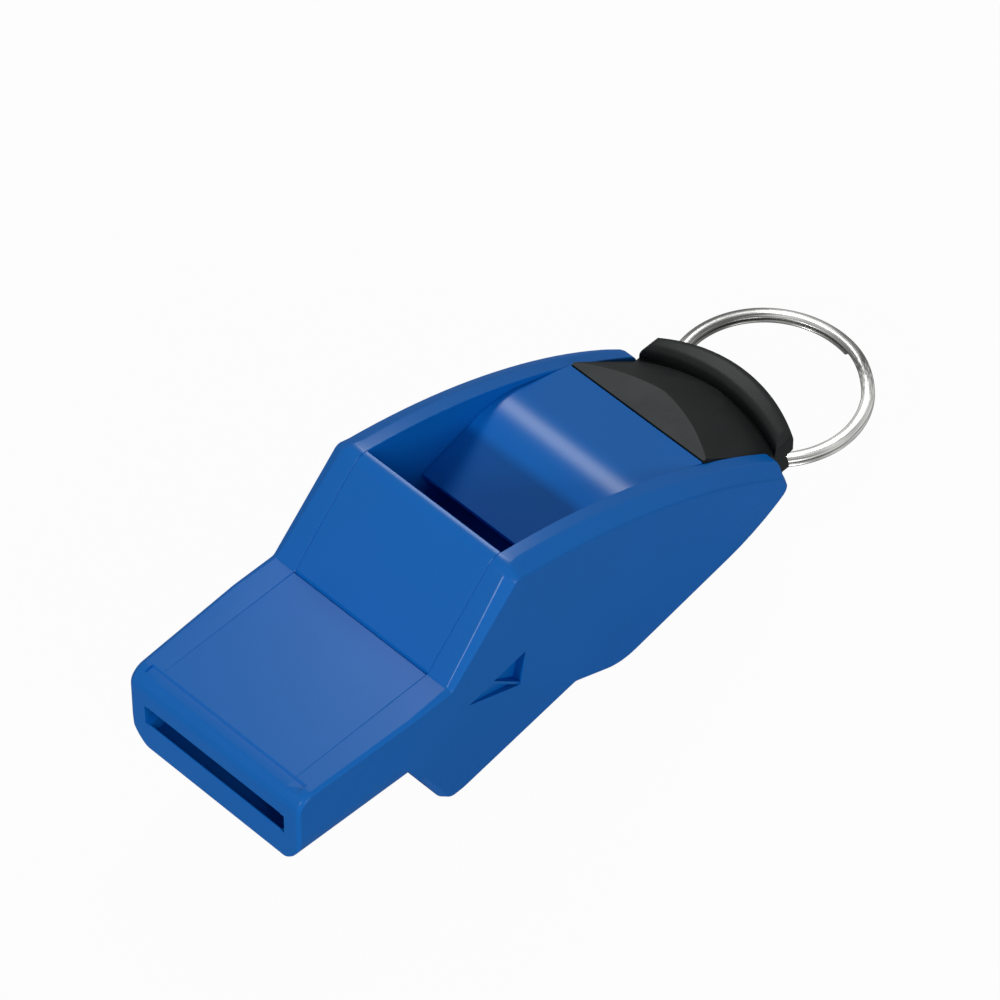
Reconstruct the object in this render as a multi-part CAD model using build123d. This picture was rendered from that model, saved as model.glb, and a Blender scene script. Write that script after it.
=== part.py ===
"""Pealess sports whistle with two chambers: moulded body, elastomer tail cap and a split ring.

Millimetres. +X runs from the mouth to the tail, +Y is the whistle's left and +Z is up. The whistle rests on
its foot and its belly at Z = 0. Side-view points are (x, z), with x counted from the front of the mouthpiece;
the finished pieces are moved so that the origin is the middle of the bounding box's floor.
"""
import math
import os

from build123d import *

# Body widths
CORE_WIDTH = 14.8
COVER_WALL = 2.6
EDGE_ROUND = 1.1

# Mouthpiece
MOUTH_LENGTH = 16.2
MOUTH_HEIGHT = 8.6
MOUTH_FLOOR_Z = 5.2
MOUTH_TOP_ROUND = 1.6
MOUTH_TOE_ROUND = 1.3
MOUTH_EDGE_ROUND = 3.2
MOUTH_TAPER = 0.5
MOUTH_TAPER_LENGTH = 12.0
NOSE_LENGTH = 1.7
NOSE_STEP = 0.2
SLOT_RISE = 3.6
SLOT_HEIGHT = 2.1
SLOT_DEPTH = 7.0
SLOT_FLARE = 0.4

# Ramp, lip, rim and tail
CREASE_ROUND = 0.3
RAMP_RUN = 7.3
RAMP_RISE = 8.0
LIP_ROUND = 1.5
LIP_WALL = 0.9
RIM_BULGE = 2.1
TAIL_LENGTH = 7.9
TAIL_HEIGHT = 2.4
TAIL_BOTTOM_Z = 5.2
TAIL_ROUND = 1.3

# Foot, notch, belly and the underside of the tail
FOOT_SETBACK = 0.5
FOOT_LEAN = 28.0
FOOT_ROUND = 1.3
FOOT_FLAT = 1.9
FOOT_HEEL_ROUND = 3.0
SOLE_LENGTH = 12.6
INSIDE_ROUND = 0.5
BELLY_SETBACK = 6.0
BELLY_ROUND = 6.0
BELLY_FRONT_SLOPE = 24.0
BELLY_REAR_SLOPE = 11.0
UNDERSIDE_LENGTH = 11.8
UNDERTAIL_BULGE = 0.4

# Air path
FLUE_GAP = 1.1
FLUE_LAND = 1.0
UPPER_FLUE_COVER = 0.5
UPPER_CHAMBER_DEPTH = 5.2
DIVIDER_SETBACK = 0.5
DIVIDER_NOSE_THICKNESS = 0.5
DIVIDER_WALL = 1.6
CHAMBER_STEP = 1.0
LOWER_FLUE_RISE = 0.9
LOWER_LIP_SETBACK = 0.6

# Deck with the upper sounding edge
WINDOW_LENGTH = 6.0
SOUNDING_EDGE_THICKNESS = 0.35
DECK_RAMP_RUN = 8.5
DECK_RAMP_RISE = 2.5
DECK_BEND_ROUND = 5.0
DECK_RUN = 8.5
DECK_FALL = 3.2
DECK_WALL = 1.6

# Belly shell with the lower sounding edge
LOWER_WINDOW_LENGTH = 4.2
LOWER_EDGE_DROP = 0.4
SHELL_RECESS = 0.3
SHELL_WALL = 1.5

# Side vent: a three-cornered recess with a thin rib across it, each corner as a step from its tip
VENT_TIP_RUN = 2.2
VENT_TIP_RISE = 4.4
VENT_TOP_STEP = (6.2, 1.3)
VENT_HEEL_STEP = (5.8, -2.2)
VENT_RIB_STEP = (2.3, 0.6)
VENT_DEPTH = 1.6
VENT_RIB_WALL = 0.35
VENT_RIB_RECESS = 0.25

# Tail cap
CAP_GAP = 0.15
CAP_SIDE_GAP = 0.05
CAP_FLAT_LENGTH = 3.15
SCOOP_RUN = 6.5
SCOOP_FALL = 5.2
SCOOP_DEPTH = 0.3
CROWN_DROP = 1.7
CROWN_RIDGE_OFFSET = 1.5
BOW_ROOT_LENGTH = 1.9
BOW_LENGTH = 4.8
BOW_BEND = 2.1
BOW_FLARE = 0.3
BOW_HEIGHT = 5.4
BOW_BOTTOM_Z = 2.2
BOW_SIDE_DROP = 0.7
BOW_TOE_ROUND = 1.0
BOW_TONGUE_WIDTH = 7.0
BEAD_DEPTH = 2.7
BEAD_END_DEPTH = 2.2
BEAD_HEIGHT = 1.2
BEAD_ROUND = 0.9

# Split ring: two turns of flat wire lying on each other, hinged in the cap
RING_OUTER_RADIUS = 8.75
RING_WIRE_WIDTH = 1.15
RING_TURN_THICKNESS = 0.5
RING_GROOVE = 0.12
RING_END_GAP = 0.6
RING_END_ANGLES = (33.0, -75.0)
RING_DROOP = 3.0
RING_SLIP = 0.35
RING_SWING_UP = 20.0
RING_SWING_DOWN = 30.0
RING_CLEARANCE = 0.35
HINGE_SETBACK = 0.45
HINGE_DEPTH = 3.4

# Places along the top, worked out from the sizes above
lip_x = MOUTH_LENGTH + RAMP_RUN
lip_back_x = lip_x + LIP_WALL
sounding_edge_x = lip_back_x + WINDOW_LENGTH
deck_bend_x = sounding_edge_x + DECK_RAMP_RUN
deck_end_x = deck_bend_x + DECK_RUN
tail_x = deck_end_x + TAIL_LENGTH
bulkhead_x = deck_end_x - DECK_WALL

# Places along the underside
foot_toe_x = MOUTH_LENGTH - FOOT_SETBACK
foot_flat_end_x = foot_toe_x + FOOT_FLAT
notch_x = foot_flat_end_x + SOLE_LENGTH
belly_x = notch_x + BELLY_SETBACK
undertail_x = belly_x + UNDERSIDE_LENGTH
lower_lip_x = notch_x - LOWER_LIP_SETBACK
lower_edge_x = lower_lip_x + LOWER_WINDOW_LENGTH

# Heights
mouth_roof_z = MOUTH_FLOOR_Z + MOUTH_HEIGHT
slot_floor_z = MOUTH_FLOOR_Z + SLOT_RISE
slot_roof_z = slot_floor_z + SLOT_HEIGHT
lip_z = mouth_roof_z + RAMP_RISE
upper_flue_roof_z = mouth_roof_z - UPPER_FLUE_COVER
divider_top_z = mouth_roof_z - UPPER_CHAMBER_DEPTH
lower_flue_floor_z = MOUTH_FLOOR_Z + LOWER_FLUE_RISE
lower_edge_z = lower_flue_floor_z - LOWER_EDGE_DROP
deck_bend_z = mouth_roof_z + DECK_RAMP_RISE
deck_end_z = deck_bend_z - DECK_FALL
bow_top_z = BOW_BOTTOM_Z + BOW_HEIGHT
hinge_z = bow_top_z - HINGE_DEPTH

# Widths, slopes and the cap's and the ring's own places
outer_width = CORE_WIDTH + 2 * COVER_WALL
foot_run = math.tan(math.radians(FOOT_LEAN))
taper_angle = math.degrees(math.atan2(MOUTH_TAPER, MOUTH_TAPER_LENGTH))
cap_front_x = deck_end_x + CAP_GAP
cap_width = CORE_WIDTH - 2 * CAP_SIDE_GAP
bow_half_width = cap_width / 2 + BOW_FLARE
bow_start_x = tail_x - BOW_ROOT_LENGTH
bow_shoulder_x = tail_x + CAP_GAP
bow_back_x = tail_x + BOW_LENGTH
bow_side_x = bow_back_x - BOW_BEND
hinge_x = tail_x - HINGE_SETBACK
ring_middle_radius = RING_OUTER_RADIUS - RING_WIRE_WIDTH / 2
ring_inner_radius = RING_OUTER_RADIUS - RING_WIRE_WIDTH
ring_height = 2 * RING_TURN_THICKNESS
droop = math.radians(RING_DROOP)
ring_reach = (ring_middle_radius + RING_OUTER_RADIUS) * math.cos(droop) + ring_height / 2 * math.sin(droop)
overall_length = hinge_x + ring_reach


def belly_tangent(slope, side):
    """Where the belly's round meets the straight beside it, in front (-1) or behind (+1)."""
    angle = math.radians(slope)
    return (belly_x + side * BELLY_ROUND * math.sin(angle), BELLY_ROUND * (1 - math.cos(angle)))


def bulged_middle(start, end, bulge):
    """Middle of an arc between two points that stands off their chord, to the left of the way along it."""
    length = math.dist(start, end)
    run = (end[0] - start[0]) / length
    rise = (end[1] - start[1]) / length
    return ((start[0] + end[0]) / 2 - rise * bulge, (start[1] + end[1]) / 2 + run * bulge)


belly_front = belly_tangent(BELLY_FRONT_SLOPE, -1)
belly_rear = belly_tangent(BELLY_REAR_SLOPE, 1)
notch = (notch_x, belly_front[1] + (belly_front[0] - notch_x) * math.tan(math.radians(BELLY_FRONT_SLOPE)))
rear_rise = math.tan(math.radians(BELLY_REAR_SLOPE))


def under_z(x):
    """Height of the straight underside behind the belly."""
    return belly_rear[1] + (x - belly_rear[0]) * rear_rise


tail_top = (tail_x, TAIL_BOTTOM_Z + TAIL_HEIGHT)
tail_bottom = (tail_x, TAIL_BOTTOM_Z)
undertail = (undertail_x, under_z(undertail_x))
undertail_middle = bulged_middle(tail_bottom, undertail, UNDERTAIL_BULGE)


def shell_z(x):
    """Height of the belly shell's upper face."""
    return under_z(x) + SHELL_RECESS + SHELL_WALL


def foot_front_x(z):
    """Where the foot's leaning front face stands at a height."""
    return foot_toe_x - z * foot_run


def side_face(edges, rounds=()):
    """Closed side-view face. Each round is ((x, z), radius) at one of its corners."""
    face = make_face(edges)
    for point, radius in rounds:
        corner = face.vertices().sort_by_distance((*point, 0))[0]
        face = fillet(corner, radius)
    return face


def slab(face, width):
    """Side-view face made solid, as wide as given, about the middle plane."""
    return extrude(Plane.XZ * face, amount=width / 2, both=True)


def both_sides(solid):
    """A solid with its mirror image on the other side of the middle plane."""
    return solid + mirror(solid, about=Plane.XZ)


def mouth_edge_cut():
    """Material taken off the mouthpiece's two lower edges, as far as the foot's front face."""
    size = MOUTH_EDGE_ROUND
    front = -2 * NOSE_LENGTH
    reach = MOUTH_LENGTH - front
    corner = Pos(front + reach / 2, size - outer_width / 2, MOUTH_FLOOR_Z + size)
    square = corner * Box(reach, 2 * size, 2 * size, align=(Align.CENTER, Align.MAX, Align.MAX))
    rod = corner * Rot(0, 90, 0) * Cylinder(size, reach)
    pivot = Pos(MOUTH_TAPER_LENGTH, -outer_width / 2, 0)
    turned = pivot * Rot(0, 0, -taper_angle) * pivot.inverse() * (square - rod)
    low = MOUTH_FLOOR_Z - size
    high = MOUTH_FLOOR_Z + size
    foot_line = [(foot_front_x(low), low), (foot_front_x(high), high)]
    in_front = Polygon((front, low), *foot_line, (front, high), align=None)
    return both_sides(turned & slab(in_front, 2 * outer_width))


def taper_cut():
    """Wedge taken off the right side of the mouthpiece, so that it narrows towards the front."""
    side = outer_width / 2
    front = -2 * NOSE_LENGTH
    depth = MOUTH_TAPER * (MOUTH_TAPER_LENGTH - front) / MOUTH_TAPER_LENGTH
    wedge = Polygon((MOUTH_TAPER_LENGTH, -side), (front, depth - side), (front, -side), align=None)
    return extrude(wedge, amount=lip_z)


def nose_cut():
    """The shallow step that leaves the mouthpiece's nose lower than the rest of its roof."""
    place = Pos(NOSE_LENGTH, 0, mouth_roof_z - NOSE_STEP)
    return place * Box(2 * NOSE_LENGTH, outer_width, NOSE_LENGTH, align=(Align.MAX, Align.CENTER, Align.MIN))


def slot_cut():
    """The mouth slot, flared a little into the covers."""
    place = Pos(-NOSE_LENGTH, 0, slot_floor_z)
    width = CORE_WIDTH + 2 * SLOT_FLARE
    size = (NOSE_LENGTH + SLOT_DEPTH, width, SLOT_HEIGHT)
    return place * Box(*size, align=(Align.MIN, Align.CENTER, Align.MIN))


def cover_face():
    """Whole side view of the body: mouthpiece, ramp, rim, tail, belly and foot."""
    toe = (0, MOUTH_FLOOR_Z)
    nose = (0, mouth_roof_z)
    crease = (MOUTH_LENGTH, mouth_roof_z)
    lip = (lip_x, lip_z)
    heel = (foot_flat_end_x, 0)
    foot_toe = (foot_toe_x, 0)
    foot_root = (foot_front_x(MOUTH_FLOOR_Z), MOUTH_FLOOR_Z)
    edges = [
        Polyline(toe, nose, crease, lip),
        ThreePointArc(lip, bulged_middle(lip, tail_top, RIM_BULGE), tail_top),
        Line(tail_top, tail_bottom),
        ThreePointArc(tail_bottom, undertail_middle, undertail),
        Line(undertail, belly_rear),
        ThreePointArc(belly_rear, (belly_x, 0), belly_front),
        Polyline(belly_front, notch, heel, foot_toe, foot_root, toe),
    ]
    rounds = [
        (toe, MOUTH_TOE_ROUND),
        (nose, MOUTH_TOP_ROUND),
        (crease, CREASE_ROUND),
        (lip, LIP_ROUND),
        (tail_top, TAIL_ROUND),
        (tail_bottom, TAIL_ROUND),
        (notch, INSIDE_ROUND),
        (heel, FOOT_HEEL_ROUND),
        (foot_toe, FOOT_ROUND),
        (foot_root, INSIDE_ROUND),
    ]
    return side_face(edges, rounds)


def vent_cut():
    """Three-cornered recess in the right cover's outer face, less the rib that crosses it."""
    tip = (MOUTH_LENGTH + VENT_TIP_RUN, MOUTH_FLOOR_Z + VENT_TIP_RISE)
    top, heel, rib_start = [
        (tip[0] + step[0], tip[1] + step[1]) for step in (VENT_TOP_STEP, VENT_HEEL_STEP, VENT_RIB_STEP)
    ]
    outside = Plane.XZ.offset(outer_width / 2)
    inward = (0, 1, 0)
    triangle = outside * Polygon(tip, top, heel, align=None)
    recess = extrude(triangle, amount=VENT_DEPTH, dir=inward)
    along = math.atan2(heel[1] - rib_start[1], heel[0] - rib_start[0])
    middle = ((heel[0] + rib_start[0]) / 2, (heel[1] + rib_start[1]) / 2)
    length = 2 * math.dist(heel, rib_start)
    below = outside.offset(-VENT_RIB_RECESS)
    strip = Pos(*middle) * Rot(0, 0, math.degrees(along)) * Rectangle(length, VENT_RIB_WALL)
    rib = extrude(below * strip, amount=VENT_DEPTH, dir=inward)
    return recess - rib


def make_right_cover():
    """Side cover with rounded outer edges; its inner face closes the air path."""
    inner_face = Plane.XZ.offset(CORE_WIDTH / 2)
    cover = extrude(inner_face * cover_face(), amount=COVER_WALL) - taper_cut()
    body_side, mouth_side = cover.faces().sort_by(Axis.Y)[:2]
    taper_line = body_side.edges() & mouth_side.edges()
    rim = body_side.edges() + mouth_side.edges() - taper_line
    cover = fillet(rim, EDGE_ROUND)
    return cover - mouth_edge_cut() - nose_cut() - slot_cut() - vent_cut()


def core_piece(*outline):
    """The part of the body's side view inside an outline, as wide as the core."""
    return slab(cover_face(), CORE_WIDTH) & slab(Polygon(*outline, align=None), CORE_WIDTH)


def make_mouth_roof():
    """Roof of the mouthpiece with the ramp and the lip; its underside is the upper flue's roof."""
    roof = core_piece(
        (-NOSE_LENGTH, slot_roof_z),
        (SLOT_DEPTH, slot_roof_z),
        (lip_back_x, upper_flue_roof_z),
        (lip_back_x, 2 * lip_z),
        (-NOSE_LENGTH, 2 * lip_z),
    )
    return roof - nose_cut()


def make_mouth_floor():
    """Floor of the mouthpiece with the foot that keeps it from going in too far."""
    floor = core_piece(
        (-NOSE_LENGTH, slot_floor_z),
        (SLOT_DEPTH, slot_floor_z),
        (lower_lip_x, lower_flue_floor_z),
        (lower_lip_x, -NOSE_LENGTH),
        (-NOSE_LENGTH, -NOSE_LENGTH),
    )
    return floor - mouth_edge_cut()


def make_flue_divider():
    """Wedge that splits the breath in two, running back as the wall between the chambers."""
    nose_x = SLOT_DEPTH + DIVIDER_SETBACK
    nose_bottom_z = (slot_floor_z + slot_roof_z - DIVIDER_NOSE_THICKNESS) / 2
    flue_floor_z = upper_flue_roof_z - FLUE_GAP
    flue_end_x = lip_back_x + FLUE_LAND
    lower_roof_z = divider_top_z - DIVIDER_WALL
    outline = Polyline(
        (nose_x, nose_bottom_z),
        (nose_x, nose_bottom_z + DIVIDER_NOSE_THICKNESS),
        (lip_back_x, flue_floor_z),
        (flue_end_x, flue_floor_z),
        (flue_end_x + CHAMBER_STEP, divider_top_z),
        (bulkhead_x, divider_top_z),
        (bulkhead_x, lower_roof_z),
        (lower_lip_x + CHAMBER_STEP, lower_roof_z),
        (lower_lip_x, lower_flue_floor_z + FLUE_GAP),
        (nose_x, nose_bottom_z),
    )
    return slab(side_face(outline), CORE_WIDTH)


def make_labium_deck():
    """Deck in the window: sounding edge, ramp, bend, sloping top and the wall that ends both chambers."""
    bend = (deck_bend_x, deck_bend_z)
    outline = Polyline(
        (sounding_edge_x, mouth_roof_z),
        bend,
        (deck_end_x, deck_end_z),
        (deck_end_x, shell_z(deck_end_x)),
        (bulkhead_x, shell_z(bulkhead_x)),
        (bulkhead_x, deck_end_z - DECK_WALL),
        (deck_bend_x, deck_bend_z - DECK_WALL),
        (sounding_edge_x, mouth_roof_z - SOUNDING_EDGE_THICKNESS),
        (sounding_edge_x, mouth_roof_z),
    )
    return slab(side_face(outline, [(bend, DECK_BEND_ROUND)]), CORE_WIDTH)


def make_belly_shell():
    """Floor of the lower chamber, from the lower sounding edge back to the seat under the cap."""
    start_x = belly_rear[0]
    end_x, end_z = undertail_middle
    seat_z = end_z + SHELL_RECESS
    outline = Polyline(
        (lower_edge_x, lower_edge_z),
        (start_x, under_z(start_x) + SHELL_RECESS),
        (undertail_x, under_z(undertail_x) + SHELL_RECESS),
        (end_x, seat_z),
        (end_x, seat_z + SHELL_WALL),
        (undertail_x, shell_z(undertail_x)),
        (start_x + SHELL_WALL, shell_z(start_x + SHELL_WALL)),
        (lower_edge_x, lower_edge_z + SOUNDING_EDGE_THICKNESS),
        (lower_edge_x, lower_edge_z),
    )
    return slab(side_face(outline), CORE_WIDTH)


def ring_room():
    """Plan of the room for the ring, wherever it has slipped, with the hinge line at x = 0."""
    places = [Pos(ring_middle_radius, side * RING_SLIP) for side in (-1, 1)]
    outer = Circle(RING_OUTER_RADIUS + RING_CLEARANCE)
    inner = Circle(ring_inner_radius - RING_CLEARANCE)
    return (places[0] * outer + places[1] * outer) - (places[0] * inner & places[1] * inner)


def ring_pocket():
    """Room the ring needs in the cap over its swing."""
    highest = RING_DROOP - RING_SWING_UP
    lowest = RING_DROOP + RING_SWING_DOWN
    half_height = ring_height / 2 + RING_CLEARANCE
    room = ring_room()
    behind = Pos(RING_CLEARANCE, 0) * Rectangle(
        3 * RING_OUTER_RADIUS, 3 * RING_OUTER_RADIUS, align=(Align.MIN, Align.CENTER)
    )
    swept = revolve(Rot(0, highest, 0) * (room & behind), Axis.Y, lowest - highest)
    for angle in (highest, lowest):
        swept += Rot(0, angle, 0) * extrude(room, amount=half_height, both=True)
    return Pos(hinge_x, 0, hinge_z) * swept


def hinge_bore():
    """Round bore about the hinge line that holds the front of the ring."""
    front = RING_WIRE_WIDTH / 2 + RING_CLEARANCE
    radius = math.hypot(front, ring_height / 2 + RING_CLEARANCE)
    outer = RING_OUTER_RADIUS + RING_CLEARANCE
    half_length = math.sqrt(outer**2 - ring_middle_radius**2) + RING_SLIP
    return Pos(hinge_x, 0, hinge_z) * Rot(90, 0, 0) * Cylinder(radius, 2 * half_length)


def crown():
    """Two long rounds that meet in a ridge along the cap's slope."""
    reach = cap_width / 2 + CROWN_RIDGE_OFFSET
    radius = (reach**2 - CROWN_RIDGE_OFFSET**2) / (2 * CROWN_DROP)
    depth = math.sqrt(radius**2 - CROWN_RIDGE_OFFSET**2)
    slope = math.degrees(math.atan2(SCOOP_FALL, SCOOP_RUN))
    place = Pos(cap_front_x + CAP_FLAT_LENGTH, 0, deck_end_z) * Rot(0, slope, 0)
    rounds = [
        place * Pos(0, side * CROWN_RIDGE_OFFSET, -depth) * Rot(0, 90, 0) * Cylinder(radius, 4 * radius)
        for side in (-1, 1)
    ]
    return rounds[0] & rounds[1]


def crowned(solid, top_z):
    """A solid kept below a long round that is highest over the middle plane."""
    radius = bow_half_width**2 / (2 * BOW_SIDE_DROP) + BOW_SIDE_DROP / 2
    return solid & Pos(bow_back_x, 0, top_z - radius) * Rot(0, 90, 0) * Cylinder(radius, bow_back_x)


def bow_plan():
    """Plan of the bow behind the covers: straight in front, bowed at the back."""
    half = bow_half_width
    edges = [
        Polyline((bow_side_x, half), (bow_shoulder_x, half), (bow_shoulder_x, -half), (bow_side_x, -half)),
        ThreePointArc((bow_side_x, -half), (bow_back_x, 0), (bow_side_x, half)),
    ]
    return make_face(edges)


def bead_plan():
    """Plan of the bead along the bow's back edge."""
    half = bow_half_width
    end_x = bow_side_x - BEAD_END_DEPTH
    edges = [
        ThreePointArc((bow_side_x, -half), (bow_back_x, 0), (bow_side_x, half)),
        Line((bow_side_x, half), (end_x, half)),
        ThreePointArc((end_x, half), (bow_back_x - BEAD_DEPTH, 0), (end_x, -half)),
        Line((end_x, -half), (bow_side_x, -half)),
    ]
    return make_face(edges)


def make_bow():
    """Rear of the cap: a wide top with a bead over the ring, and a narrow tongue that runs down through it."""
    bow = Pos(0, 0, BOW_BOTTOM_Z) * extrude(bow_plan(), amount=BOW_HEIGHT)
    back_toe = bow.faces().sort_by(Axis.Z)[0].edges().sort_by(Axis.X)[-1]
    bow = fillet(back_toe, BOW_TOE_ROUND)
    below = Pos(bow_shoulder_x, 0, BOW_BOTTOM_Z)
    lower_sizes = [(BOW_LENGTH, width, hinge_z - BOW_BOTTOM_Z) for width in (2 * bow_half_width, BOW_TONGUE_WIDTH)]
    lower, tongue = [below * Box(*size, align=(Align.MIN, Align.CENTER, Align.MIN)) for size in lower_sizes]
    bow -= lower - tongue
    root_size = (bow_shoulder_x - bow_start_x, cap_width, BOW_HEIGHT)
    root = Pos(bow_shoulder_x, 0, BOW_BOTTOM_Z) * Box(*root_size, align=(Align.MAX, Align.CENTER, Align.MIN))
    bead = Pos(0, 0, hinge_z) * extrude(bead_plan(), amount=bow_top_z)
    bead = crowned(bead, bow_top_z + BEAD_HEIGHT)
    bead = fillet(bead.faces().sort_by(Axis.Z)[-1].edges(), BEAD_ROUND)
    return crowned(bow + root, bow_top_z) + bead


def make_tail_cap():
    """Elastomer cap: flat crescent, ridged scoop, and the raised bow with the ring's pocket."""
    end_x, end_z = undertail_middle
    seat_z = end_z + SHELL_RECESS
    flat_end = (cap_front_x + CAP_FLAT_LENGTH, deck_end_z)
    scoop_end = (flat_end[0] + SCOOP_RUN, flat_end[1] - SCOOP_FALL)
    edges = [
        Line((cap_front_x, deck_end_z), flat_end),
        ThreePointArc(flat_end, bulged_middle(flat_end, scoop_end, -SCOOP_DEPTH), scoop_end),
        Polyline(
            scoop_end,
            (scoop_end[0], BOW_BOTTOM_Z),
            (bow_start_x, BOW_BOTTOM_Z),
            (end_x, seat_z),
            (end_x, seat_z + SHELL_WALL),
            (undertail_x, shell_z(undertail_x)),
            (cap_front_x, shell_z(cap_front_x)),
            (cap_front_x, deck_end_z),
        ),
    ]
    cap = (slab(side_face(edges), cap_width) & crown()) + make_bow()
    return cap - ring_pocket() - hinge_bore()


def make_split_ring():
    """Two flat turns pressed together, with a groove between them and a cut end on each."""
    half = ring_height / 2
    section = Polyline(
        (ring_inner_radius, -half),
        (RING_OUTER_RADIUS, -half),
        (RING_OUTER_RADIUS, -RING_GROOVE),
        (RING_OUTER_RADIUS - RING_GROOVE, 0),
        (RING_OUTER_RADIUS, RING_GROOVE),
        (RING_OUTER_RADIUS, half),
        (ring_inner_radius, half),
        (ring_inner_radius, RING_GROOVE),
        (ring_inner_radius + RING_GROOVE, 0),
        (ring_inner_radius, -RING_GROOVE),
        (ring_inner_radius, -half),
    )
    ring = revolve(Plane.XZ * make_face(section), Axis.Z, 360)
    notch_size = (2 * RING_WIRE_WIDTH, RING_END_GAP, RING_TURN_THICKNESS)
    for angle, side in zip(RING_END_ANGLES, (1, -1)):
        place = Rot(0, 0, angle) * Pos(ring_middle_radius, 0, side * RING_TURN_THICKNESS / 2)
        ring -= place * Box(*notch_size)
    place = Pos(hinge_x, -RING_SLIP, hinge_z) * Rot(0, RING_DROOP, 0) * Pos(ring_middle_radius, 0, 0)
    return place * ring


right_cover = make_right_cover()
pieces = {
    "right_cover": right_cover,
    "left_cover": mirror(right_cover, about=Plane.XZ),
    "mouth_roof": make_mouth_roof(),
    "mouth_floor": make_mouth_floor(),
    "flue_divider": make_flue_divider(),
    "labium_deck": make_labium_deck(),
    "belly_shell": make_belly_shell(),
    "tail_cap": make_tail_cap(),
    "split_ring": make_split_ring(),
}

os.makedirs("parts", exist_ok=True)
for name, piece in pieces.items():
    export_step(Pos(-overall_length / 2, 0, 0) * piece, f"parts/{name}.step")
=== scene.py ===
"""Looks of the pealess sports whistle: blue moulded body, black elastomer tail cap and nickel split ring.

Shapes are given in millimetres: x back from the front of the mouthpiece, y to the whistle's left, z above the
ground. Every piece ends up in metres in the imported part's own frame.
"""
import math

import bmesh
import bpy
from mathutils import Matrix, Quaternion, Vector


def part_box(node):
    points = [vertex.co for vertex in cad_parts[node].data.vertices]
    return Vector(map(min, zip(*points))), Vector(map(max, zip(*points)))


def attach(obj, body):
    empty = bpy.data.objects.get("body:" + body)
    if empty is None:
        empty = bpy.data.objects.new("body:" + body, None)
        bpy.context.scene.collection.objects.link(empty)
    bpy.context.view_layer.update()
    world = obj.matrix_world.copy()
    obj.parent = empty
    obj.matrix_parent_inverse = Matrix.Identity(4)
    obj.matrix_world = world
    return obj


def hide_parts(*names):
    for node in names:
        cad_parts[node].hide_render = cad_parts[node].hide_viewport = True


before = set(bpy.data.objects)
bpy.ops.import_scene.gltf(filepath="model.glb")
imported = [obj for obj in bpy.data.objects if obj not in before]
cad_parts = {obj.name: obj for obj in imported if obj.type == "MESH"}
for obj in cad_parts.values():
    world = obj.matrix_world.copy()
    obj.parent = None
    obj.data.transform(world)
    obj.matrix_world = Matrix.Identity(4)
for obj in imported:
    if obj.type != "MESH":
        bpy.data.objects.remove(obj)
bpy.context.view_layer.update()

MM = 0.001
front_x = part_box("mouth_roof")[0].x

# Widths, edges and seams of the mouldings
CORE_HALF = 7.4
COVER_HALF = 10.0
CHAMFER_START = 8.65
CHAMFER_DEPTH = 0.85
CHAMFER_SOFT = 0.2
CHAMFER_EASE_RUN = 0.02
CHAMFER_EASE_DROP = 0.045
MOUTH_CHAMFER_SHARE = 0.25
RAMP_CHAMFER_SHARE = 0.5
UNDER_CHAMFER_SHARE = 0.55
CREASE_BLEND = 1.0
LIP_BLEND_BEFORE = 2.0
LIP_BLEND_AFTER = 1.5
WAIST_FRONT = 9.5
WAIST_FALL = 3.1
SEAM_SOFT = 0.05
SEAM_BLEND = 0.1
MOUTH_TAPER = 0.5
MOUTH_TAPER_LENGTH = 12.0

# Side view of the body
MOUTH_FLOOR = 5.2
MOUTH_ROOF = 13.8
MOUTH_TOP_ROUND = 1.6
CREASE = (16.2, 13.8)
CREASE_ROUND = 0.3
LIP = (23.5, 21.78)
LIP_ROUND = 1.5
RIM_BULGE = 2.1
RIM_STEPS = 22
TAIL_TOP = (55.3, 7.6)
TAIL_BOTTOM = (55.3, 5.2)
TAIL_ROUND = 1.5
UNDERTAIL = (48.0, 2.1814)
UNDERTAIL_BULGE = 0.4
UNDERTAIL_STEPS = 5
BELLY_X = 36.2
BELLY_ROUND = 6.0
BELLY_SLOPES = (11.0, -24.0)
BELLY_STEPS = 8
NOTCH = (30.2, 2.1035)
NOTCH_ROUND = 0.5
HEEL = (17.6, 0.0)
HEEL_ROUND = 3.0
FOOT_TOE = (15.7, 0.0)
FOOT_TOE_ROUND = 1.5
CORE_TOE_ROUND = 1.3
FOOT_ROOT_ROUND = 0.5
FOOT_LEAN = 28.0

# Mouth slot and the shallow nose step in front of the raised panel
SLOT_LOW = 8.8
SLOT_HIGH = 10.9
SLOT_DEPTH = 7.0
SLOT_HALF = 7.8
SLOT_EDGE_ROUND = 0.08
SLOT_END_ROUND = 0.3
SLOT_LAND = 0.2
SLOT_WELL = 7.6
WELL_EDGE_ROUND = 0.1
WELL_FRONT_RUN = 0.2
WELL_BACK_RUN = 0.6
NOSE_LENGTH = 1.7
NOSE_STEP = 0.2
NOSE_STEP_RUN = 0.18
NOSE_STEP_PAST = 0.02
NOSE_HALF = 8.6
MOUTH_EDGE_ROUND = 3.8
MOUTH_EDGE_STEPS = 16
MOUTH_CHIN_ROUND = 0.8

# Groove along the crease, as steps from it with each corner's round
CREASE_GROOVE = ((-0.16, 0.0, 0.06), (-0.02, -0.16, 0.05), (0.12, 0.1315, 0.06))

# Lips in front of the upper and the lower window
LIP_BACK_X = 24.4
LIP_FALL = 0.17
LIP_BACK_ROUND = 0.07
LIP_UNDER_Z = 13.3
LIP_UNDER_ROUND = 0.1
LOWER_LIP_X = 29.6
LOWER_LIP_TOP = 6.1
LOWER_LIP_BOTTOM = 2.0033
LOWER_LIP_ROUND = 0.1

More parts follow.
